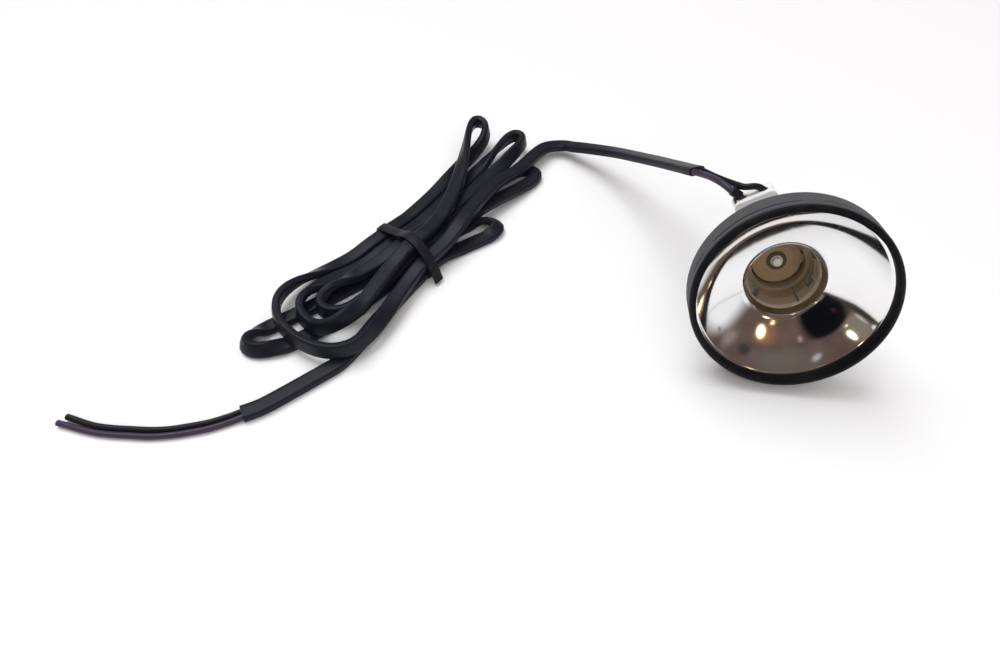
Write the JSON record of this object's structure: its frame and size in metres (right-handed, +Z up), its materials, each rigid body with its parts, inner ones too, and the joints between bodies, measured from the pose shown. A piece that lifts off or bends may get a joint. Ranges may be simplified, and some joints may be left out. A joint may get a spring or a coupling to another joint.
{
  "type": "turn signal reflector insert",
  "caption": "Mirror bowl in a black rubber ring with a bayonet bulb holder and its sprung contact behind, and a two-core lead bundled in a hank.",
  "frame": {"origin": "bottom centre of the lamp's own box, on the surface that it lies on, the lead left out", "axes": "+Z up; the lamp's face looks toward -Y and 18 degrees up; the lamp's axis lies in the YZ plane"},
  "size_m": [0.2038, 0.1423, 0.0498],
  "materials": {
    "rubber": "satin black rubber",
    "mirror_metal": "vacuum-metallised mirror",
    "plated_sleeve": "dull plated sheet",
    "laminate": "bare phenolic laminate",
    "tin": "bright tinned",
    "brass": "stamped brass",
    "spring_steel": "spring wire",
    "white_nylon": "moulded nylon",
    "dark_steel": "darkened steel",
    "black_sheath": "soft black PVC",
    "purple_wire": "purple PVC insulation",
    "black_wire": "black PVC insulation",
    "solder": "solder",
    "strap_rubber": "matt strap"
  },
  "bodies": {
    "lamp": {"rim_ring": "rubber", "reflector": "mirror_metal", "seat_gasket": "rubber", "bulb_sleeve": "plated_sleeve", "contact_spring": "spring_steel", "live_terminal": "brass", "insulating_washer": "laminate", "holder_body": "white_nylon", "holder_cap": "white_nylon", "earth_tab": "brass", "wire_clamp": "dark_steel", "wire_end_sleeve": "black_sheath", "live_wire_inner": "purple_wire", "earth_wire_inner": "black_wire", "live_solder": "solder", "earth_solder": "solder", "black_wire_lead": "black_wire", "purple_wire_lead": "purple_wire", "sheath_lead": "black_sheath", "sheath_hank": "black_sheath", "hank_strap": "strap_rubber", "sheath_tail": "black_sheath", "black_wire_tail": "black_wire", "purple_wire_tail": "purple_wire"},
    "contact": {"contact_disc": "laminate", "centre_contact": "tin", "contact_retainer": "brass"}
  },
  "joints": [
    {"name": "contact_plunge", "type": "slide", "parent": "lamp", "child": "contact", "axis": [0, 0.951, -0.3091], "range_m": [0, 0.003], "stiffness_N_per_m": 1000, "deforming": ["contact_spring"]}
  ]
}
